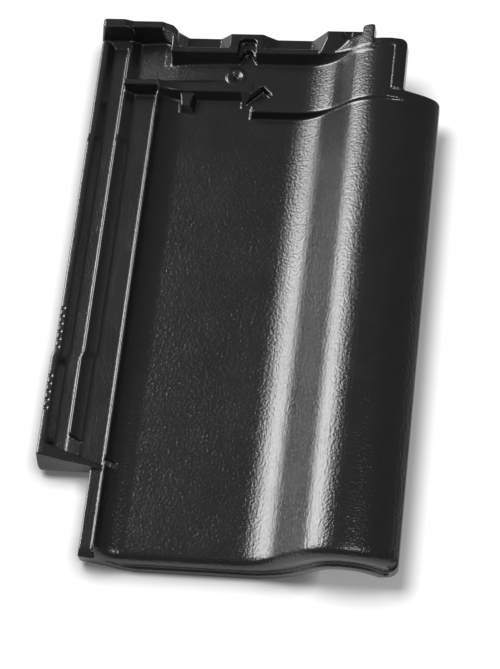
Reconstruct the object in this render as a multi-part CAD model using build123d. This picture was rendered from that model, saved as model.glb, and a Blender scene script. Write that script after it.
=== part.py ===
from build123d import *
import math
import os

# Interlocking clay roof tile, face up. X runs across the tile from the side lock to the roll,
# Y up the slope from the foot to the head, and Z is up. Working positions are measured from the
# lock's outer face, the foot edge and the ground; the finished tile is centred at the end.

# Side lock: two water grooves between the outer rim, the middle rib and the pan's ridge
rim_top = 5.5
rim_slope = 5.3
outer_groove = 10.7
rib_left_slope = 1.4
rib_top = 1.8
rib_right_slope = 7.4
inner_groove = 16.5
ridge_left_slope = 1.6
ridge_top = 1.6
lock_under_z = 7.0
groove_z = 16.0
rim_z = 23.0
rib_z = 23.5
ridge_z = 25.0
rim_round = 1.5
rib_round = 0.8
groove_round = 1.8

# The lock is stepped in plan, further out near the foot, and its rim and rib are lower at the head
lock_jog = 1.8
jog_y = 158.0
jog_run = 6.0
head_lock_drop = 2.2
head_lock_back = 99.0
head_lock_run = 7.0

# Foot end of the lock: a slanted dam leads the grooves' water through a gap in the ridge
lock_foot_y = 72.0
dam_corner_y = 88.4
dam_low_z = 17.0
drain_skew = 18.0
dam_front_z = 9.0
dam_front_draft = 7.8
dam_front_end_draft = 2.0
lock_corner_round = 3.0
rib_end_y = 96.2
rib_stub = 0.4
rib_end_skew = 27.0
ridge_gap = 5.8
ridge_gap_reach = 12.0
strip_width = 10.0
strip_foot_y = 3.6

# Pan, rise and roll
flank_width = 20.0
pan_z = 13.5
roll_offset = 180.0
crest_z = 50.0
hollow_radius = 47.0
roll_radius = 42.0
rise_angle = 40.0
edge_radius = 55.0
edge_angle = 49.5
fade_angle = 25.0
wall = 10.5
flank_under_z = 9.0
edge_lip_width = 7.0
edge_lip_z = 21.5
edge_lip_draft = 0.6

# Length and foot edge: a rounded nose set back over a lower drip lip
length = 440.0
foot_lip = 12.0
foot_lip_drop = 3.0
nose_set_back = 2.8
nose_depth = 7.0
roll_nose_depth = 13.0
nose_overlap = 2.0
nose_radius = 6.5
drip_round = 1.6
foot_corner_z = 5.5
foot_sweep_x = 28.4
foot_sweep_angle = 5.8
foot_corner_round = 8.0

# Lower step that carries the foot of the tile above; it stands further down the tile on the roll's side
step_left_back = 56.0
step_left_draft = 3.6
step_right_back = 71.1
step_right_draft = 1.9
step_split = 72.9
band = 5.7
band_fall = 4.0
band_z = 23.5
band_ridge_z = 30.0
band_crest_z = 53.5
band_dam_back = 53.1
band_dam_draft = 1.8
cover_back = 62.0
cover_corner_round = 4.0

# Channel between the step and the head rim
channel_z = 22.7
channel_left_rise = 2.3
channel_fall = 62.0
channel_crest_z = 52.0
channel_wall = 9.5

# Head rim with its pockets and its water notch
rim_foot_back = 28.0
rim_draft = 4.0
rim_left = 7.9
rim_end_rise = 1.0
rim_end_draft = 1.2
head_rim_z = 35.0
head_rim_crest_z = 54.0
head_rim_back = 7.3
pocket_back = 20.0
pocket_z = 27.0
left_pocket = 12.4
left_pocket_near_slope = 7.6
left_pocket_floor = 25.2
left_pocket_far_slope = 9.9
right_pocket = 78.0
right_pocket_near_slope = 11.6
right_pocket_floor = 27.5
right_pocket_far_slope = 8.0
shoulder_slope = 5.3
shoulder_z = 42.0
shoulder_shelf_back = 14.0
roll_pocket = 142.9
roll_pocket_width = 7.0
roll_pocket_depth = 1.5
roll_pocket_rear = 1.5
notch_left = 60.9
notch_width = 13.8
notch_back = 11.9
notch_round = 4.0
notch_shelf_z = 29.5
chute_radius = 4.4
chute_flare = 3.0
chute_back = 23.0

# Flange on the roll with its raised border, and the lug beside it
flange_back = 18.6
flange_right = 15.6
flange_round = 5.0
border_back_width = 5.4
border_right_width = 8.9
border_rise = 1.2
lug_left = 20.0
lug_width = 9.8
lug_depth = 12.6
lug_back = 6.2
lug_round = 2.5

# End wall that closes the side lock at the head
corner_depth = 7.3
corner_lean = 4.7
corner_top = 17.3
corner_fall = 5.7
corner_z = 42.0
corner_round = 2.5
wall_depth = 7.4
wall_draft = 1.8
wall_z = 39.5
wall_turn = 5.5
return_top = 4.5
return_z = 38.5
ramp_back = 12.0

# Drain slot between the two parts of the step, and its sloping cheek
slot_x = 68.0
slot_back = 67.6
slot_width = 11.3
slot_length = 24.0
slot_angle = 45.0
slot_z = 15.0
cheek_x = 65.0
cheek_width = 8.0
cheek_reach = 6.1

# Cleat on the left part of the step
cleat_x = 16.4
cleat_foot_width = 11.4
cleat_head_inset = 2.2
cleat_head_width = 6.6
cleat_flare = 1.6
cleat_reach = 13.2
cleat_head_reach = 9.6
cleat_z = 20.5
cleat_root = 1.0

# Nail mark
boss_x = 59.5
boss_back = 39.3
boss_radius = 7.4
boss_rise = 0.9
boss_well_radius = 4.8
boss_dimple_radius = 2.2
boss_dimple_depth = 2.0

# Grip notches on the outer rim
grip_depth = 1.3
grip_width = 2.6
grip_pitch = 6.4
upper_grips = 6
upper_grip_y = 197.1
lower_grips = 5
lower_grip_y = 141.6

# Underside
nib_near = 34.4
nib_far = 104.4
nib_width = 26.0
nib_back = 36.0
nib_depth = 14.0
nib_round = 3.0
nib_root = 1.0
cover_rib_width = 5.0
edge_rib_width = 9.0
cover_rib_clearance = 1.6
cover_rib_start_y = 24.0
cover_rib_back = 78.0

# Places worked out from the sizes above
rib_x = rim_top + rim_slope + outer_groove + rib_left_slope + lock_jog
groove_2_x = rib_x + rib_top + rib_right_slope
floor_end_x = groove_2_x + inner_groove
ridge_x = floor_end_x + ridge_left_slope
left_x = ridge_x + ridge_top
strip_left_x = floor_end_x - strip_width
lock_side_z = lock_under_z + foot_lip_drop
pan_left_x = left_x + flank_width
channel_flat_x = left_x + channel_fall
crest_x = ridge_x + roll_offset
width = crest_x + edge_radius * math.sin(math.radians(edge_angle))
cover_width = width - ridge_x
step_left_y = length - step_left_back
step_top_y = step_left_y + step_left_draft
band_back_y = step_top_y + band
band_end_y = band_back_y + band_fall
step_right_y = length - step_right_back
step_right_top_y = step_right_y + step_right_draft
split_x = left_x + step_split
cover_end_y = length - cover_back
rim_foot_y = length - rim_foot_back
rim_y = rim_foot_y + rim_draft
head_rim_y = length - head_rim_back
pocket_y = length - pocket_back
flange_y = length - flange_back
flange_x = crest_x + flange_right
lug_x = crest_x - lug_left
lug_end_x = lug_x + lug_width
shelf_y = length - shoulder_shelf_back
shoulder_x = left_x + right_pocket + right_pocket_near_slope + right_pocket_floor + right_pocket_far_slope
corner_y = length - corner_depth
wall_y = length - wall_depth
wall_x = lock_jog + corner_lean + corner_top + corner_fall
rim_left_x = left_x + rim_left
dam_y = length - band_dam_back
head_under_z = channel_z - channel_wall
chamber_z = groove_z + channel_left_rise
reach = 2 * crest_z


def at_y(y, flat):
    """Stand a sketch drawn in X and Z upright at the given place along the tile."""
    return Plane.XZ.offset(-y) * flat


def run(flat, y_start, y_end):
    """Extrude a sketch drawn in X and Z along the tile."""
    return extrude(at_y(y_start, flat), y_end - y_start, dir=(0, 1, 0))


def across(points, x_start, x_end):
    """Extrude an outline given in Y and Z across the tile."""
    flat = Plane.YZ.offset(x_start) * make_face(Polyline(*points, close=True))
    return extrude(flat, x_end - x_start, dir=(1, 0, 0))


def block(x_start, x_end, y_start, y_end, z_start, z_end):
    """A box between the given planes."""
    size = Box(x_end - x_start, y_end - y_start, z_end - z_start)
    return Pos((x_start + x_end) / 2, (y_start + y_end) / 2, (z_start + z_end) / 2) * size


def corners_at(flat, points):
    """The corners of a sketch that lie at the given points."""
    return [v for v in flat.vertices() if any(math.dist((v.X, v.Y), point) < 0.001 for point in points)]


def corner_cut(x, y, radius, x_side, y_side):
    """What is cut away to round a corner in plan; the sides are 1 or -1 and point out of the tile."""
    centre_x = x - x_side * radius
    centre_y = y - y_side * radius
    square = block(min(x, centre_x), max(x, centre_x), min(y, centre_y), max(y, centre_y), -reach, reach)
    return square - Pos(centre_x, centre_y, 0) * Cylinder(radius, 3 * reach)


def lock_section(shift, drop, with_ridge):
    """Section of the side lock from the rim's outer face to the pan's ridge, or to its floor's end."""
    rim_in = shift + rim_top
    floor_1 = rim_in + rim_slope
    rib_left = rib_x - lock_jog + shift
    floor_2 = rib_left + rib_top + rib_right_slope
    rim = [(shift, rim_z - drop), (rim_in, rim_z - drop)]
    rib = [(rib_left, rib_z - drop), (rib_left + rib_top, rib_z - drop)]
    floor_ends = [(floor_1, groove_z), (rib_left - rib_left_slope, groove_z), (floor_2, groove_z)]
    ridge = [(left_x, chamber_z)]
    if with_ridge:
        floor_ends.append((floor_end_x, groove_z))
        ridge = [floor_ends[-1], (ridge_x, ridge_z), (left_x, ridge_z)]
    points = [(shift, lock_under_z)] + rim + floor_ends[:2] + rib + floor_ends[2:3] + ridge
    points += [(left_x, lock_side_z), (ridge_x, lock_under_z)]
    flat = make_face(Polyline(*points, close=True))
    flat = fillet(corners_at(flat, rim), rim_round)
    flat = fillet(corners_at(flat, rib), rib_round)
    return fillet(corners_at(flat, floor_ends), groove_round)


def edge_point(angle, depth):
    """A point on the roll's outer arc, at an angle from the crest and a depth under the face."""
    radius = edge_radius - depth
    turn = math.radians(angle)
    return (crest_x + radius * math.sin(turn), crest_z - edge_radius + radius * math.cos(turn))


def cover_edges(start_x, start_z, flat_x, flat_z, top_z, depth):
    """Curve of the pan, rise and roll, lying at the given depth under its parallel top curve."""
    hollow = hollow_radius + depth
    roll = roll_radius - depth
    bends = hollow + roll
    lift = top_z - flat_z
    bends_only = math.acos(1 - lift / bends)
    least_straight = 0.98
    angle = min(math.radians(rise_angle), least_straight * bends_only)
    sine = math.sin(angle)
    cosine = math.cos(angle)
    straight = (lift - bends * (1 - cosine)) / sine
    rise_x = crest_x - bends * sine - straight * cosine
    pan_left = (flat_x, flat_z)
    pan_right = (rise_x, flat_z)
    rise_low = (rise_x + hollow * sine, flat_z + hollow * (1 - cosine))
    rise_high = (crest_x - roll * sine, top_z - roll * (1 - cosine))
    crest = (crest_x, top_z)
    fade = edge_point(fade_angle, depth)
    fade_way = (math.cos(math.radians(fade_angle)), -math.sin(math.radians(fade_angle)))
    edge_end = edge_point(edge_angle, depth)
    return [
        TangentArc(pan_left, (start_x, start_z), tangent=(-1, 0)),
        Line(pan_left, pan_right),
        TangentArc(pan_right, rise_low, tangent=(1, 0)),
        Line(rise_low, rise_high),
        TangentArc(rise_high, crest, tangent=(cosine, sine)),
        TangentArc(crest, fade, tangent=(1, 0)),
        TangentArc(fade, edge_end, tangent=fade_way),
    ], (start_x, start_z), edge_end


def cover_section(top, under):
    """Closed section between a top curve and an under curve."""
    top_edges, top_left, top_right = cover_edges(*top)
    under_edges, under_left, under_right = cover_edges(*under)
    floor_end = (left_x, groove_z)
    ends = [Line(top_left, floor_end), Line(floor_end, under_left), Line(top_right, under_right)]
    return make_face(top_edges + under_edges + ends)


# Level curves of the face and the underside
lip_depth = wall + foot_lip_drop
root_depth = nose_depth + nose_overlap
roll_lip_depth = roll_nose_depth + lip_depth - nose_depth
roll_root_depth = roll_nose_depth + nose_overlap
body_top = (left_x, ridge_z, pan_left_x, pan_z, crest_z, 0)
body_under = (left_x, flank_under_z, pan_left_x, pan_z - wall, crest_z - wall, wall)
drip_top = (left_x, ridge_z - nose_depth, pan_left_x, pan_z - nose_depth, crest_z - roll_nose_depth,
            roll_nose_depth)
drip_under = (left_x, flank_under_z, pan_left_x, pan_z - lip_depth, crest_z - roll_lip_depth,
              roll_lip_depth)
nose_under = (left_x, lock_side_z, pan_left_x, pan_z - root_depth, crest_z - roll_root_depth,
              roll_root_depth)
band_top = (left_x, band_ridge_z, pan_left_x, band_z, band_crest_z, 0)
channel_top = (left_x, chamber_z, channel_flat_x, channel_z, channel_crest_z, 0)
border_top = (left_x, chamber_z, channel_flat_x, channel_z, channel_crest_z + border_rise, 0)
rim_curve = (rim_left_x, head_rim_z + rim_end_rise, pan_left_x, head_rim_z, head_rim_crest_z, 0)
head_under = (left_x, lock_side_z, pan_left_x, head_under_z, channel_crest_z - channel_wall, channel_wall)


def side_lock():
    """The side lock from its foot end to the head, with its steps in plan and height."""
    low = lock_section(0, 0, True)
    middle = lock_section(lock_jog, 0, True)
    head_part = lock_section(lock_jog, head_lock_drop, True)
    channel = lock_section(lock_jog, head_lock_drop, False)
    jog_end = jog_y + jog_run
    drop_y = length - head_lock_back
    drop_end = drop_y + head_lock_run
    body = run(low, lock_foot_y, jog_y)
    body += loft([at_y(jog_y, low), at_y(jog_end, middle)], ruled=True)
    body += run(middle, jog_end, drop_y)
    body += loft([at_y(drop_y, middle), at_y(drop_end, head_part)], ruled=True)
    body += run(head_part, drop_end, dam_y)
    body += run(channel, dam_y, length)
    return body


def lock_foot(body):
    """Foot end of the lock: the rib's end, the slanted dam and its rounded, sloping front."""
    rib_centre = rib_x - lock_jog + rib_top / 2
    half_cut = outer_groove / 2 + rib_right_slope
    rib_cut = block(-half_cut, half_cut, -reach, 0, groove_z + rib_stub, reach)
    rib_cut = Pos(rib_centre, rib_end_y, 0) * Rot(0, 0, -rib_end_skew) * rib_cut
    body -= rib_cut & block(rim_top + rim_slope, floor_end_x, 0, length, 0, reach)
    rim = [(0, rim_z), (rim_top, rim_z)]
    outline = [(0, lock_under_z)] + rim
    outline += [(left_x, dam_low_z), (left_x, lock_side_z), (ridge_x, lock_under_z)]
    flat = make_face(Polyline(*outline, close=True))
    flat = fillet(corners_at(flat, rim[:1]), rim_round)
    dam = run(flat, lock_foot_y, dam_corner_y)
    beyond = block(-reach, reach, 0, reach, -reach, reach)
    dam -= Pos(rim_top, dam_corner_y, 0) * Rot(0, 0, -drain_skew) * beyond
    body += dam
    front = [dam_front(-rim_round, dam_front_draft), dam_front(strip_left_x, dam_front_end_draft)]
    body -= loft(front, ruled=True)
    body -= corner_cut(0, lock_foot_y, lock_corner_round, -1, -1)
    return body


def dam_front(x, draft):
    """What is cut away at one place across the tile to slope the dam's front."""
    slope = draft / (rim_z - dam_front_z)
    points = (
        (lock_foot_y, dam_front_z),
        (lock_foot_y, reach),
        (lock_foot_y + slope * (reach - dam_front_z), reach),
    )
    return Plane.YZ.offset(x) * make_face(Polyline(*points, close=True))


def ridge_outlet():
    """Slanted gap in the ridge, level with the dam's low end, through which the grooves drain."""
    start_y = dam_corner_y - (ridge_x - rim_top) * math.tan(math.radians(drain_skew))
    gap = block(-ridge_left_slope - rib_round, ridge_gap_reach, 0, ridge_gap, dam_low_z, reach)
    return Pos(ridge_x, start_y, 0) * Rot(0, 0, -drain_skew) * gap


def nose():
    """Rounded front edge of the face over the drip lip."""
    upper = run(cover_section(body_top, nose_under), nose_set_back, foot_lip)
    drip = run(cover_section(drip_top, drip_under), 0, foot_lip)
    upper = front_round(upper, body_top, nose_set_back, nose_radius)
    return upper + front_round(drip, drip_top, 0, drip_round)


def front_round(body, top, y, radius):
    """Round the edge where a body's front face meets its top curve."""
    points = [Plane.XZ.from_local_coords(edge @ 0.5) + Vector(0, y, 0) for edge in cover_edges(*top)[0]]
    edges = [edge for edge in body.edges() if any((edge @ 0.5 - point).length < 0.01 for point in points)]
    return fillet(edges, radius)


def foot_corner():
    """Strip beside the ridge and the swept corner where the drip lip runs out under it."""
    strip = block(strip_left_x, ridge_x, strip_foot_y, lock_foot_y, lock_side_z, groove_z)
    ridge = make_face(Polyline(
        (floor_end_x, groove_z),
        (ridge_x, ridge_z),
        (left_x, ridge_z),
        (left_x, flank_under_z),
        (floor_end_x, lock_side_z),
        close=True,
    ))
    strip += run(ridge, strip_foot_y + nose_set_back, lock_foot_y)
    sweep_x = left_x + foot_sweep_x
    lip = make_face(Polyline(
        (strip_left_x, foot_corner_z),
        (strip_left_x, groove_z),
        (left_x, groove_z),
        (pan_left_x, pan_z - nose_depth),
        (sweep_x, 0),
        close=True,
    ))
    return strip + run(lip, 0, foot_lip)


def foot_sweep():
    """What is cut off the foot edge so that it draws back towards the strip."""
    front = block(-2 * reach, 0, -reach, 0, -reach, reach)
    return Pos(left_x + foot_sweep_x, 0, 0) * Rot(0, 0, -foot_sweep_angle) * front


def cover():
    """Pan and roll from the foot to the lower step, with the lip along the roll's edge."""
    section = cover_section(body_top, body_under)
    body = nose()
    body += run(section, foot_lip, step_right_y)
    body += run(section, step_right_y, step_left_y) & left_of(split_x)
    body += foot_corner()
    body -= foot_sweep()
    edge_z = edge_point(edge_angle, 0)[1]
    edge_lip = make_face(Polyline(
        (width, edge_z),
        (width - edge_lip_draft, edge_lip_z),
        (width - edge_lip_width, edge_lip_z),
        (width - edge_lip_width, edge_z),
        close=True,
    ))
    body += run(edge_lip, 0, cover_end_y)
    toe = make_face(Polyline(
        edge_point(edge_angle, 0),
        (width - edge_lip_draft, edge_lip_z),
        edge_point(edge_angle, roll_lip_depth),
        close=True,
    ))
    body += run(toe, 0, foot_lip)
    return body


def left_of(x):
    """Everything on the lock's side of a plane."""
    return block(-reach, x, -reach, length + reach, -reach, reach)


def head():
    """Lower step, channel, head rim and flange as runs of sections up the slope."""
    body_face = cover_section(body_top, body_under)
    band_face = cover_section(band_top, head_under)
    channel_face = cover_section(channel_top, head_under)
    rim_face = cover_section(rim_curve, head_under)
    border_face = cover_section(border_top, head_under)
    left = loft([at_y(step_left_y, body_face), at_y(step_top_y, band_face)], ruled=True)
    left += run(band_face, step_top_y, band_back_y)
    left += loft([at_y(band_back_y, band_face), at_y(band_end_y, channel_face)], ruled=True)
    left += run(channel_face, band_end_y, rim_foot_y)
    right = loft([at_y(step_right_y, body_face), at_y(step_right_top_y, channel_face)], ruled=True)
    right += run(channel_face, step_right_top_y, rim_foot_y)
    rim = loft([at_y(rim_foot_y, channel_face), at_y(rim_y, rim_face)], ruled=True)
    rim += run(rim_face, rim_y, head_rim_y)
    flange = run(channel_face, rim_foot_y, flange_y)
    solid = (left & left_of(split_x)) + (right - left_of(split_x))
    chamber = make_face(Polyline(
        (ridge_x, chamber_z),
        (rim_left_x - rim_end_draft, chamber_z + rim_end_rise),
        (rim_left_x, head_rim_z + rim_end_rise),
        (ridge_x, head_rim_z + rim_end_rise),
        close=True,
    ))
    solid += (rim & left_of(lug_end_x)) - run(chamber, rim_foot_y, length)
    solid += flange - left_of(lug_end_x)
    border = block(flange_x - border_right_width, flange_x, cover_end_y, flange_y, 0, reach)
    border += block(lug_end_x, flange_x, flange_y - border_back_width, flange_y, 0, reach)
    solid += run(border_face, cover_end_y, flange_y) & border
    solid += shoulder()
    solid -= block(shoulder_x, lug_x, shelf_y, length, shoulder_z, reach)
    recess_x = left_x + roll_pocket
    recess_end = recess_x + roll_pocket_width
    recess_z = shoulder_z - roll_pocket_depth
    solid -= block(recess_x, recess_end, shelf_y, head_rim_y - roll_pocket_rear, recess_z, reach)
    lug = block(lug_x, lug_end_x, head_rim_y - lug_depth, length - lug_back, 0, reach)
    lug = fillet(lug.edges().filter_by(Axis.Z).group_by(Axis.Y)[-1], lug_round)
    return solid + (run(rim_face, rim_y, length) & lug)


def shoulder():
    """Raised shelf at the rear of the head rim between its right trough and the lug, falling to the front."""
    side = make_face(Polyline(
        (shoulder_x, head_rim_z),
        (shoulder_x, head_rim_z + rim_end_rise),
        (shoulder_x + shoulder_slope, shoulder_z),
        (lug_x, shoulder_z),
        (lug_x, head_rim_z),
        close=True,
    ))
    fall_points = (
        (rim_y, head_rim_z),
        (rim_y, head_rim_z + rim_end_rise),
        (shelf_y, shoulder_z),
        (head_rim_y, shoulder_z),
        (head_rim_y, head_rim_z),
    )
    return run(side, rim_y, head_rim_y) & across(fall_points, shoulder_x, lug_x)


def pocket(start, near_slope, floor, far_slope):
    """A trough in the head rim, open to the rear, with sloping ends."""
    near = left_x + start
    floor_start = near + near_slope
    floor_end = floor_start + floor
    far = floor_end + far_slope
    flat = make_face(Polyline(
        (near, head_rim_z + rim_end_rise),
        (floor_start, pocket_z),
        (floor_end, pocket_z),
        (far, head_rim_z + rim_end_rise),
        (far, reach),
        (near, reach),
        close=True,
    ))
    return run(flat, pocket_y, length + reach)


def water_notch():
    """Round-cornered notch in the head rim with a half-round chute down to the channel."""
    x_start = left_x + notch_left
    notch = block(x_start, x_start + notch_width, rim_foot_y, length - notch_back, notch_shelf_z, reach)
    notch = fillet(notch.edges().filter_by(Axis.Z).group_by(Axis.Y)[-1], notch_round)
    middle = x_start + notch_width / 2
    chute_y = length - chute_back
    chute = block(middle - chute_radius, middle + chute_radius, rim_foot_y, chute_y, channel_z, reach)
    chute += Pos(middle, chute_y, (channel_z + reach) / 2) * Cylinder(chute_radius, reach - channel_z)
    flare = make_face(Polyline(
        (middle - chute_radius - chute_flare, rim_foot_y),
        (middle + chute_radius + chute_flare, rim_foot_y),
        (middle + chute_radius, chute_y),
        (middle - chute_radius, chute_y),
        close=True,
    ))
    return notch + chute + extrude(Pos(0, 0, channel_z) * flare, reach - channel_z, dir=(0, 0, 1))


def head_cuts():
    """Everything that is taken away from the head."""
    cuts = block(flange_x, width + reach, cover_end_y, length + reach, -reach, reach)
    cuts += corner_cut(flange_x, flange_y, flange_round, 1, 1)
    cuts += pocket(left_pocket, left_pocket_near_slope, left_pocket_floor, left_pocket_far_slope)
    cuts += pocket(right_pocket, right_pocket_near_slope, right_pocket_floor, right_pocket_far_slope)
    cuts += water_notch()
    slot = block(0, slot_length, -slot_width / 2, slot_width / 2, slot_z, reach)
    cuts += Pos(left_x + slot_x, length - slot_back, 0) * Rot(0, 0, slot_angle) * slot
    return cuts


def head_wall():
    """End wall that closes the side lock's grooves at the head, with its corner, ramp and return."""
    corner_left = lock_jog + corner_lean
    peak = (corner_left, corner_z)
    corner_flat = make_face(Polyline(
        (lock_jog, lock_under_z),
        (lock_jog, rim_z - head_lock_drop),
        peak,
        (corner_left + corner_top, corner_z),
        (wall_x, wall_z),
        (wall_x, lock_under_z),
        close=True,
    ))
    corner_flat = fillet(corners_at(corner_flat, [peak]), corner_round)
    body = run(corner_flat, corner_y, length) - corner_cut(lock_jog, length, corner_round, -1, 1)
    wall_points = (
        (wall_y, lock_under_z),
        (wall_y, groove_z),
        (wall_y + wall_draft, wall_z),
        (length, wall_z),
        (length, lock_under_z),
    )
    body += across(wall_points, wall_x, left_x)
    turn_end = rim_left_x + return_top
    turn = make_face(Polyline(
        (left_x, wall_y),
        (left_x, length),
        (rim_left_x, length - wall_turn / 2),
        (turn_end, head_rim_y),
        (turn_end, wall_y - wall_turn),
        close=True,
    ))
    body += Pos(0, 0, head_under_z) * extrude(turn, return_z - head_under_z, dir=(0, 0, 1))
    return_points = (
        (pocket_y, head_under_z),
        (pocket_y, head_rim_z + rim_end_rise),
        (head_rim_y, return_z),
        (head_rim_y, head_under_z),
    )
    body += across(return_points, rim_left_x, turn_end)
    ramp_y = length - ramp_back
    ramp_points = (
        (ramp_y, lock_under_z),
        (ramp_y, groove_z),
        (corner_y, rim_z - head_lock_drop),
        (corner_y, lock_under_z),
    )
    body += across(ramp_points, lock_jog + rim_top / 2, rib_x)
    return body


def band_dam():
    """Dam that carries the step's top across the inner groove to the middle rib."""
    points = (
        (dam_y, lock_side_z),
        (dam_y, groove_z),
        (dam_y + band_dam_draft, band_ridge_z),
        (band_back_y, band_ridge_z),
        (band_back_y, lock_side_z),
    )
    return across(points, rib_x + rib_top, left_x)


def slot_cheek():
    """Sloping cheek at the step's end beside the drain slot."""
    points = (
        (step_left_y - cheek_reach, pan_z),
        (step_top_y, band_z),
        (step_top_y, pan_z - wall / 2),
        (step_left_y - cheek_reach, pan_z - wall / 2),
    )
    return across(points, left_x + cheek_x, left_x + cheek_x + cheek_width)


def cleat():
    """Small tapered cleat in front of the step."""
    root_y = step_left_y + step_left_draft / 2
    foot_left = left_x + cleat_x
    head_left = foot_left + cleat_head_inset
    foot_flat = make_face(Polyline(
        (foot_left - cleat_flare, root_y),
        (foot_left, root_y - cleat_reach),
        (foot_left + cleat_foot_width, root_y - cleat_reach - cleat_flare),
        (foot_left + cleat_foot_width + cleat_flare, root_y),
        close=True,
    ))
    head_flat = make_face(Polyline(
        (head_left - cleat_flare, root_y),
        (head_left, root_y - cleat_head_reach),
        (head_left + cleat_head_width, root_y - cleat_head_reach),
        (head_left + cleat_head_width + cleat_flare, root_y),
        close=True,
    ))
    body = loft([Pos(0, 0, pan_z) * foot_flat, Pos(0, 0, cleat_z) * head_flat], ruled=True)
    return body + extrude(Pos(0, 0, pan_z - cleat_root) * foot_flat, cleat_root, dir=(0, 0, 1))


def nail_mark(tile):
    """Low ring with a dimple that marks where a nail hole may be made."""
    place = Pos(left_x + boss_x, length - boss_back, channel_z)
    tile += place * (Cylinder(boss_radius, 2 * boss_rise) - Cylinder(boss_well_radius, 2 * boss_rise))
    return tile - place * Cylinder(boss_dimple_radius, 2 * boss_dimple_depth)


def grip_notches():
    """Small vee notches in the top of the outer rim."""
    half = grip_width / 2
    cuts = Part()
    for first, count, inset in ((upper_grip_y, upper_grips, lock_jog), (lower_grip_y, lower_grips, 0)):
        for index in range(count):
            y = first - index * grip_pitch
            vee = ((y - half, rim_z), (y, rim_z - grip_depth), (y + half, rim_z))
            cuts += across(vee, inset - rim_round, inset + rim_top - rim_round)
    return cuts


def nibs():
    """Two nibs under the head that hang on the batten and, unlaid, carry the head."""
    nib_y = length - nib_back
    body = Part()
    for near in (nib_near, nib_far):
        x = left_x + near
        half = nib_width / 2
        nib = block(x - half, x + half, nib_y, nib_y + nib_depth, 0, head_under_z + nib_root)
        body += fillet(nib.edges().filter_by(Axis.Z), nib_round)
    return body


def cover_ribs():
    """Ribs under the roll that reach into the next tile's grooves, cut off by the roll's face."""
    bottom = groove_z + cover_rib_clearance
    end_y = length - cover_rib_back
    cover_rib_x = rim_top + rim_slope + (outer_groove - cover_rib_width) / 2 + cover_width
    edge_rib_end = width - edge_lip_width
    ribs = block(cover_rib_x, cover_rib_x + cover_rib_width, cover_rib_start_y, end_y, bottom, crest_z)
    ribs += block(edge_rib_end - edge_rib_width, edge_rib_end, cover_rib_start_y, end_y, bottom, crest_z)
    top_edges, top_left, top_right = cover_edges(*body_top)
    ground_left = (left_x, 0)
    ground_right = (width, 0)
    sides = [Line(top_left, ground_left), Line(ground_left, ground_right), Line(ground_right, top_right)]
    return ribs & run(make_face(top_edges + sides), 0, length)


tile = lock_foot(side_lock())
tile += cover()
tile -= ridge_outlet()
tile += head()
tile += head_wall()
tile += band_dam()
tile += slot_cheek()
tile -= head_cuts()
tile -= corner_cut(width, cover_end_y, cover_corner_round, 1, 1)
tile -= corner_cut(width, 0, foot_corner_round, 1, -1)
tile += cleat()
tile = nail_mark(tile)
tile -= grip_notches()
tile += nibs()
tile += cover_ribs()

roof_tile = Pos(-width / 2, -length / 2, 0) * tile
os.makedirs("parts", exist_ok=True)
export_step(roof_tile, "parts/roof_tile.step")
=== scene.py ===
import bmesh
import bpy
import math
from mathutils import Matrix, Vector


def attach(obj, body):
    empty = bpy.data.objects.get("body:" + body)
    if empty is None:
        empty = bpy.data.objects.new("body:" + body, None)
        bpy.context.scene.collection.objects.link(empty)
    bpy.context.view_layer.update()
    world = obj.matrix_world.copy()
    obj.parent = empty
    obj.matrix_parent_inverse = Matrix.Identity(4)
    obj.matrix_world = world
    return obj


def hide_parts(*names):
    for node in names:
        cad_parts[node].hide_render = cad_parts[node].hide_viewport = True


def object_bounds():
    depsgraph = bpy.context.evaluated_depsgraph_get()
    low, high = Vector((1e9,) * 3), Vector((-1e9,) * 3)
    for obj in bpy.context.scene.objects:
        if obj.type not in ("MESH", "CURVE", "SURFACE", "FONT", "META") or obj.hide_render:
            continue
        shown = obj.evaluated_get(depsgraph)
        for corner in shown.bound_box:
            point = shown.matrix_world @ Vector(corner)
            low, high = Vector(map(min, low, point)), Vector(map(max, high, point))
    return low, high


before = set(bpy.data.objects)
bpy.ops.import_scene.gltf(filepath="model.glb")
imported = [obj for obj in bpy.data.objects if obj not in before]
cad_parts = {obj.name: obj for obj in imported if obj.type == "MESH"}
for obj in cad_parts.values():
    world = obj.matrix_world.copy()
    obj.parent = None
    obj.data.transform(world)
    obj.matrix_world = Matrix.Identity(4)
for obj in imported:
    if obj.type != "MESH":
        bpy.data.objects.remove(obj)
cad_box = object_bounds()

# Softened skin of the fired tile, in metres
WELD_GAP = 0.000002
SKIN_VOXEL = 0.0006
SKIN_SMOOTH_SHARE = 0.5
SKIN_SMOOTH_STEPS = 9
SKIN_TRIANGLES = 190000
WAVE_HEIGHT = 0.00008
WAVE_SIZE = 0.022
WAVE_SEED = 7.0

# Engobe: colours, sheen, and the bare clay on faces that look down
ENGOBE_DARK = (0.0072, 0.0068, 0.0068, 1)
ENGOBE_PALE = (0.0128, 0.0124, 0.0128, 1)
CLAY_BROWN = (0.040, 0.025, 0.018, 1)
ENGOBE_IOR = 1.58
MOTTLE_SCALE = 60.0
SHEEN_SCALE = 35.0
SATIN_LEAST = 0.19
SATIN_MOST = 0.25
CLAY_ROUGHNESS = 0.75
CLAY_FROM_FACING = -0.25
CLAY_TO_FACING = -0.75

# Orange peel: strongest on the pan and roll, weaker in the side lock and towards the head
PEEL_SCALE = 560.0
PEEL_HEIGHT = 0.0004
PEEL_STRENGTH = 0.7
PEEL_ON_PAN = 1.35
PEEL_LOSS_IN_LOCK = -0.6
PEEL_AT_HEAD = 0.45
LOCK_RIGHT = -0.0835
HEAD_FROM_Y = 0.10
HEAD_TO_Y = 0.15

# Rounding of the engobe over the foot edge
ROLL_OFF_Y = -0.2100
ROLL_OFF_SPAN = 0.0045
ROLL_OFF_SLOPE = 0.48

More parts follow.
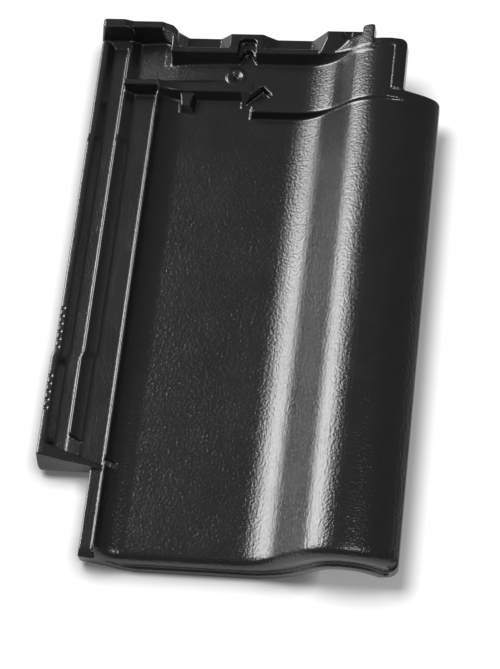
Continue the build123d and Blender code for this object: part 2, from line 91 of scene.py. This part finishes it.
# Camera of the photograph, in the tile's frame
CAMERA_PLACE = (0.324635, -0.795235, 1.674913)
CAMERA_TURN = (25.25472, 7.87828, 6.29295)
CAMERA_LENS = 134.529

# Studio
SOFTBOX_WAY = Vector((-0.76, 0.27, 0.55))
SOFTBOX_DISTANCE = 1.5
SOFTBOX_WIDTH = 0.95
SOFTBOX_LENGTH = 0.92
SOFTBOX_RADIANCE = 13.0
TOP_LIGHT_WAY = Vector((0.30, -0.20, 0.93))
TOP_LIGHT_DISTANCE = 1.7
TOP_LIGHT_WIDTH = 0.45
TOP_LIGHT_LENGTH = 0.18
TOP_LIGHT_RADIANCE = 26.0
ROOM_LEVEL = 0.2
FLOOR_SIZE = 12.0
FLOOR_COLOUR = (0.85, 0.85, 0.85, 1)
FLOOR_OWN_WHITE = 0.25
# Painted contact shadow: how far and how deep ambient occlusion darkens the floor's colour and own white
# near the tile
FLOOR_SHADE_REACH = 0.018
FLOOR_SHADE_FROM = 0.70
FLOOR_SHADE_TO = 0.98
FLOOR_SHADE_LEAST = 0.42
FLOOR_LIGHT_WAY = Vector((-0.22, 0.25, 0.94))
FLOOR_LIGHT_SPREAD = 30.0
FLOOR_LIGHT_STRENGTH = 3.7


def soft_skin(source):
    """A copy of the tile's mesh with the softened edges of pressed and fired clay."""
    mesh = source.data.copy()
    work = bmesh.new()
    work.from_mesh(mesh)
    bmesh.ops.remove_doubles(work, verts=work.verts, dist=WELD_GAP)
    work.to_mesh(mesh)
    work.free()
    mesh.materials.clear()
    piece = bpy.data.objects.new("tile_skin", mesh)
    bpy.context.scene.collection.objects.link(piece)
    voxels = piece.modifiers.new("voxels", "REMESH")
    voxels.mode = "VOXEL"
    voxels.voxel_size = SKIN_VOXEL
    voxels.use_smooth_shade = True
    soft = piece.modifiers.new("soft", "SMOOTH")
    soft.factor = SKIN_SMOOTH_SHARE
    soft.iterations = SKIN_SMOOTH_STEPS
    freeze(piece)
    thin = piece.modifiers.new("thin", "DECIMATE")
    triangles = sum(len(face.vertices) - 2 for face in piece.data.polygons)
    thin.ratio = min(1.0, SKIN_TRIANGLES / triangles)
    freeze(piece)
    return piece


def freeze(piece):
    """Turn a piece's modifiers into plain mesh."""
    graph = bpy.context.evaluated_depsgraph_get()
    done = bpy.data.meshes.new_from_object(piece.evaluated_get(graph))
    piece.modifiers.clear()
    piece.data = done
    for face in done.polygons:
        face.use_smooth = True


def clay_waves():
    """Geometry nodes that lay the faint waviness of fired clay over a skin."""
    tree = bpy.data.node_groups.new("clay_waves", "GeometryNodeTree")
    face = tree.interface
    face.new_socket("Skin", in_out="INPUT", socket_type="NodeSocketGeometry")
    height = face.new_socket("Wave Height", in_out="INPUT", socket_type="NodeSocketFloat")
    size = face.new_socket("Wave Size", in_out="INPUT", socket_type="NodeSocketFloat")
    seed = face.new_socket("Seed", in_out="INPUT", socket_type="NodeSocketFloat")
    finish = face.new_socket("Finish", in_out="INPUT", socket_type="NodeSocketMaterial")
    face.new_socket("Skin", in_out="OUTPUT", socket_type="NodeSocketGeometry")
    nodes = tree.nodes
    links = tree.links
    given = nodes.new("NodeGroupInput")
    put_out = nodes.new("NodeGroupOutput")
    waves = nodes.new("ShaderNodeTexNoise")
    waves.noise_dimensions = "4D"
    waves.inputs["Detail"].default_value = 1.0
    per_size = nodes.new("ShaderNodeMath")
    per_size.operation = "DIVIDE"
    per_size.inputs[0].default_value = 1.0
    centred = nodes.new("ShaderNodeMath")
    centred.operation = "SUBTRACT"
    centred.inputs[1].default_value = 0.5
    lift = nodes.new("ShaderNodeMath")
    lift.operation = "MULTIPLY"
    normal = nodes.new("GeometryNodeInputNormal")
    along = nodes.new("ShaderNodeVectorMath")
    along.operation = "SCALE"
    moved = nodes.new("GeometryNodeSetPosition")
    whole = nodes.new("GeometryNodeRealizeInstances")
    coated = nodes.new("GeometryNodeSetMaterial")
    links.new(given.outputs["Wave Size"], per_size.inputs[1])
    links.new(per_size.outputs[0], waves.inputs["Scale"])
    links.new(given.outputs["Seed"], waves.inputs["W"])
    links.new(waves.outputs[0], centred.inputs[0])
    links.new(centred.outputs[0], lift.inputs[0])
    links.new(given.outputs["Wave Height"], lift.inputs[1])
    links.new(normal.outputs["Normal"], along.inputs[0])
    links.new(lift.outputs[0], along.inputs["Scale"])
    links.new(given.outputs["Skin"], moved.inputs["Geometry"])
    links.new(along.outputs[0], moved.inputs["Offset"])
    links.new(moved.outputs["Geometry"], whole.inputs["Geometry"])
    links.new(whole.outputs["Geometry"], coated.inputs["Geometry"])
    links.new(given.outputs["Finish"], coated.inputs["Material"])
    links.new(coated.outputs["Geometry"], put_out.inputs["Skin"])
    return tree, height.identifier, size.identifier, seed.identifier, finish.identifier


def lay_waves(piece, material):
    """Run the clay waves over a piece and keep the result as plain mesh."""
    tree, height, size, seed, finish = clay_waves()
    waves = piece.modifiers.new("waves", "NODES")
    waves.node_group = tree
    waves[height] = WAVE_HEIGHT
    waves[size] = WAVE_SIZE
    waves[seed] = WAVE_SEED
    waves[finish] = material
    freeze(piece)


def keep_inside(piece, box):
    """Hold a piece's skin inside the tile's box."""
    low, high = box
    for point in piece.data.vertices:
        point.co = [min(max(value, least), most) for value, least, most in zip(point.co, low, high)]


def engobe():
    """Black satin engobe: mottled, with a fine orange-peel surface, over brown clay underneath."""
    material = bpy.data.materials.new("black_engobe")
    material.use_nodes = True
    nodes = material.node_tree.nodes
    links = material.node_tree.links
    shader = nodes["Principled BSDF"]
    shader.inputs["IOR"].default_value = ENGOBE_IOR
    place = nodes.new("ShaderNodeTexCoord")

    mottle = nodes.new("ShaderNodeTexNoise")
    mottle.inputs["Scale"].default_value = MOTTLE_SCALE
    mottle.inputs["Detail"].default_value = 5.0
    tone = nodes.new("ShaderNodeMix")
    tone.data_type = "RGBA"
    tone.inputs["A"].default_value = ENGOBE_DARK
    tone.inputs["B"].default_value = ENGOBE_PALE
    links.new(place.outputs["Object"], mottle.inputs["Vector"])
    links.new(mottle.outputs[0], tone.inputs["Factor"])

    facing = nodes.new("ShaderNodeNewGeometry")
    upward = nodes.new("ShaderNodeSeparateXYZ")
    bare = nodes.new("ShaderNodeMapRange")
    bare.interpolation_type = "SMOOTHSTEP"
    bare.inputs["From Min"].default_value = CLAY_FROM_FACING
    bare.inputs["From Max"].default_value = CLAY_TO_FACING
    clay = nodes.new("ShaderNodeMix")
    clay.data_type = "RGBA"
    clay.inputs["B"].default_value = CLAY_BROWN
    links.new(facing.outputs["Normal"], upward.inputs["Vector"])
    links.new(upward.outputs["Z"], bare.inputs["Value"])
    links.new(bare.outputs["Result"], clay.inputs["Factor"])
    links.new(tone.outputs["Result"], clay.inputs["A"])
    links.new(clay.outputs["Result"], shader.inputs["Base Color"])

    sheen_patches = nodes.new("ShaderNodeTexNoise")
    sheen_patches.inputs["Scale"].default_value = SHEEN_SCALE
    sheen_patches.inputs["Detail"].default_value = 3.0
    satin = nodes.new("ShaderNodeMapRange")
    satin.inputs["From Min"].default_value = 0.3
    satin.inputs["From Max"].default_value = 0.7
    satin.inputs["To Min"].default_value = SATIN_LEAST
    satin.inputs["To Max"].default_value = SATIN_MOST
    dull = nodes.new("ShaderNodeMix")
    dull.inputs["B"].default_value = CLAY_ROUGHNESS
    links.new(place.outputs["Object"], sheen_patches.inputs["Vector"])
    links.new(sheen_patches.outputs[0], satin.inputs["Value"])
    links.new(bare.outputs["Result"], dull.inputs["Factor"])
    links.new(satin.outputs["Result"], dull.inputs["A"])
    links.new(dull.outputs["Result"], shader.inputs["Roughness"])

    peel = nodes.new("ShaderNodeTexNoise")
    peel.inputs["Scale"].default_value = PEEL_SCALE
    peel.inputs["Detail"].default_value = 3.0
    spot = nodes.new("ShaderNodeSeparateXYZ")
    in_lock = nodes.new("ShaderNodeMath")
    in_lock.operation = "LESS_THAN"
    in_lock.inputs[1].default_value = LOCK_RIGHT
    coarse = nodes.new("ShaderNodeMath")
    coarse.operation = "MULTIPLY_ADD"
    coarse.inputs[1].default_value = PEEL_LOSS_IN_LOCK
    coarse.inputs[2].default_value = PEEL_ON_PAN
    fine = nodes.new("ShaderNodeMapRange")
    fine.interpolation_type = "SMOOTHSTEP"
    fine.inputs["From Min"].default_value = HEAD_FROM_Y
    fine.inputs["From Max"].default_value = HEAD_TO_Y
    fine.inputs["To Min"].default_value = 1.0
    fine.inputs["To Max"].default_value = PEEL_AT_HEAD
    heavy = nodes.new("ShaderNodeMath")
    heavy.operation = "MULTIPLY"
    grain = nodes.new("ShaderNodeMath")
    grain.operation = "MULTIPLY"
    links.new(place.outputs["Object"], peel.inputs["Vector"])
    links.new(place.outputs["Object"], spot.inputs["Vector"])
    links.new(spot.outputs["X"], in_lock.inputs[0])
    links.new(in_lock.outputs[0], coarse.inputs[0])
    links.new(spot.outputs["Y"], fine.inputs["Value"])
    links.new(coarse.outputs[0], heavy.inputs[0])
    links.new(fine.outputs["Result"], heavy.inputs[1])
    links.new(peel.outputs[0], grain.inputs[0])
    links.new(heavy.outputs[0], grain.inputs[1])

    to_foot = nodes.new("ShaderNodeMath")
    to_foot.operation = "SUBTRACT"
    to_foot.inputs[0].default_value = ROLL_OFF_Y
    rounding = nodes.new("ShaderNodeMath")
    rounding.operation = "SMOOTH_MAX"
    rounding.inputs[1].default_value = 0.0
    rounding.inputs[2].default_value = ROLL_OFF_SPAN
    relief = nodes.new("ShaderNodeMath")
    relief.operation = "MULTIPLY_ADD"
    relief.inputs[1].default_value = -ROLL_OFF_SLOPE / PEEL_HEIGHT
    bump = nodes.new("ShaderNodeBump")
    bump.inputs["Strength"].default_value = PEEL_STRENGTH
    bump.inputs["Distance"].default_value = PEEL_HEIGHT
    links.new(spot.outputs["Y"], to_foot.inputs[1])
    links.new(to_foot.outputs[0], rounding.inputs[0])
    links.new(rounding.outputs[0], relief.inputs[0])
    links.new(grain.outputs[0], relief.inputs[2])
    links.new(relief.outputs[0], bump.inputs["Height"])
    links.new(bump.outputs["Normal"], shader.inputs["Normal"])
    return material


def floor():
    """Pale floor that shows white to the camera, with the tile's real shadow from the floor light and a
    painted contact shadow beside the tile.
    """
    half = FLOOR_SIZE / 2
    mesh = bpy.data.meshes.new("floor")
    corners = [(-half, -half, 0), (half, -half, 0), (half, half, 0), (-half, half, 0)]
    mesh.from_pydata(corners, [], [(0, 1, 2, 3)])
    ground = bpy.data.objects.new("floor", mesh)
    bpy.context.scene.collection.objects.link(ground)
    material = bpy.data.materials.new("pale_floor")
    material.use_nodes = True
    nodes = material.node_tree.nodes
    links = material.node_tree.links
    nodes.remove(nodes["Principled BSDF"])
    lit = nodes.new("ShaderNodeBsdfDiffuse")
    own = nodes.new("ShaderNodeEmission")
    # Painted contact shadow: ambient occlusion darkens the floor's colour and its own white near the tile
    near = nodes.new("ShaderNodeAmbientOcclusion")
    near.inputs["Distance"].default_value = FLOOR_SHADE_REACH
    painted_shadow_level = nodes.new("ShaderNodeMapRange")
    painted_shadow_level.inputs["From Min"].default_value = FLOOR_SHADE_FROM
    painted_shadow_level.inputs["From Max"].default_value = FLOOR_SHADE_TO
    painted_shadow_level.inputs["To Min"].default_value = FLOOR_SHADE_LEAST
    painted_shadow_colour = nodes.new("ShaderNodeMix")
    painted_shadow_colour.data_type = "RGBA"
    painted_shadow_colour.inputs["A"].default_value = (0, 0, 0, 1)
    painted_shadow_colour.inputs["B"].default_value = FLOOR_COLOUR
    links.new(near.outputs["AO"], painted_shadow_level.inputs["Value"])
    links.new(painted_shadow_level.outputs["Result"], own.inputs["Strength"])
    links.new(painted_shadow_level.outputs["Result"], painted_shadow_colour.inputs["Factor"])
    links.new(painted_shadow_colour.outputs["Result"], lit.inputs["Color"])
    path = nodes.new("ShaderNodeLightPath")
    seen = nodes.new("ShaderNodeMath")
    seen.operation = "MAXIMUM"
    shown = nodes.new("ShaderNodeMath")
    shown.operation = "MAXIMUM"
    share = nodes.new("ShaderNodeMath")
    share.operation = "MULTIPLY"
    share.inputs[1].default_value = FLOOR_OWN_WHITE
    mixed = nodes.new("ShaderNodeMixShader")
    links.new(path.outputs["Is Camera Ray"], seen.inputs[0])
    links.new(path.outputs["Is Glossy Ray"], seen.inputs[1])
    links.new(seen.outputs[0], shown.inputs[0])
    links.new(path.outputs["Is Transmission Ray"], shown.inputs[1])
    links.new(shown.outputs[0], share.inputs[0])
    links.new(share.outputs[0], mixed.inputs["Fac"])
    links.new(lit.outputs[0], mixed.inputs[1])
    links.new(own.outputs[0], mixed.inputs[2])
    links.new(mixed.outputs[0], nodes["Material Output"].inputs["Surface"])
    mesh.materials.append(material)
    return ground


def shine_on(holder, way, distance, thing):
    """Hang a lamp in the given direction, facing the tile, and let it light one thing alone."""
    way = way.normalized()
    holder.location = way * distance
    holder.rotation_euler = way.to_track_quat("Z", "Y").to_euler()
    bpy.context.scene.collection.objects.link(holder)
    lit = bpy.data.collections.new(holder.name + "_lights")
    lit.objects.link(thing)
    holder.light_linking.receiver_collection = lit


def softbox(name, way, distance, width, length, radiance, thing):
    """A soft studio lamp."""
    lamp = bpy.data.lights.new(name, "AREA")
    lamp.shape = "RECTANGLE"
    lamp.size = width
    lamp.size_y = length
    lamp.energy = radiance * math.pi * width * length
    shine_on(bpy.data.objects.new(name, lamp), way, distance, thing)


def floor_light(ground):
    """Even, soft light on the floor alone, for a short shadow beside the tile."""
    lamp = bpy.data.lights.new("floor_light", "SUN")
    lamp.energy = FLOOR_LIGHT_STRENGTH
    lamp.angle = math.radians(FLOOR_LIGHT_SPREAD)
    shine_on(bpy.data.objects.new("floor_light", lamp), FLOOR_LIGHT_WAY, SOFTBOX_DISTANCE, ground)


def studio(tile, ground):
    """Camera of the photograph, lamps and dim room."""
    scene = bpy.context.scene
    lens = bpy.data.cameras.new("camera")
    lens.lens = CAMERA_LENS
    camera = bpy.data.objects.new("camera", lens)
    camera.location = CAMERA_PLACE
    camera.rotation_euler = [math.radians(angle) for angle in CAMERA_TURN]
    scene.collection.objects.link(camera)
    scene.camera = camera
    room = bpy.data.worlds.new("room")
    room.use_nodes = True
    air = room.node_tree.nodes["Background"]
    air.inputs["Strength"].default_value = ROOM_LEVEL
    air.inputs["Color"].default_value = (1, 1, 1, 1)
    scene.world = room
    scene.view_settings.view_transform = "Standard"
    softbox("key", SOFTBOX_WAY, SOFTBOX_DISTANCE, SOFTBOX_WIDTH, SOFTBOX_LENGTH, SOFTBOX_RADIANCE, tile)
    softbox(
        "top", TOP_LIGHT_WAY, TOP_LIGHT_DISTANCE, TOP_LIGHT_WIDTH, TOP_LIGHT_LENGTH, TOP_LIGHT_RADIANCE, tile
    )
    floor_light(ground)


tile = soft_skin(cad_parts["roof_tile"])
lay_waves(tile, engobe())
keep_inside(tile, cad_box)
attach(tile, "root")
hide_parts("roof_tile")
studio(tile, floor())
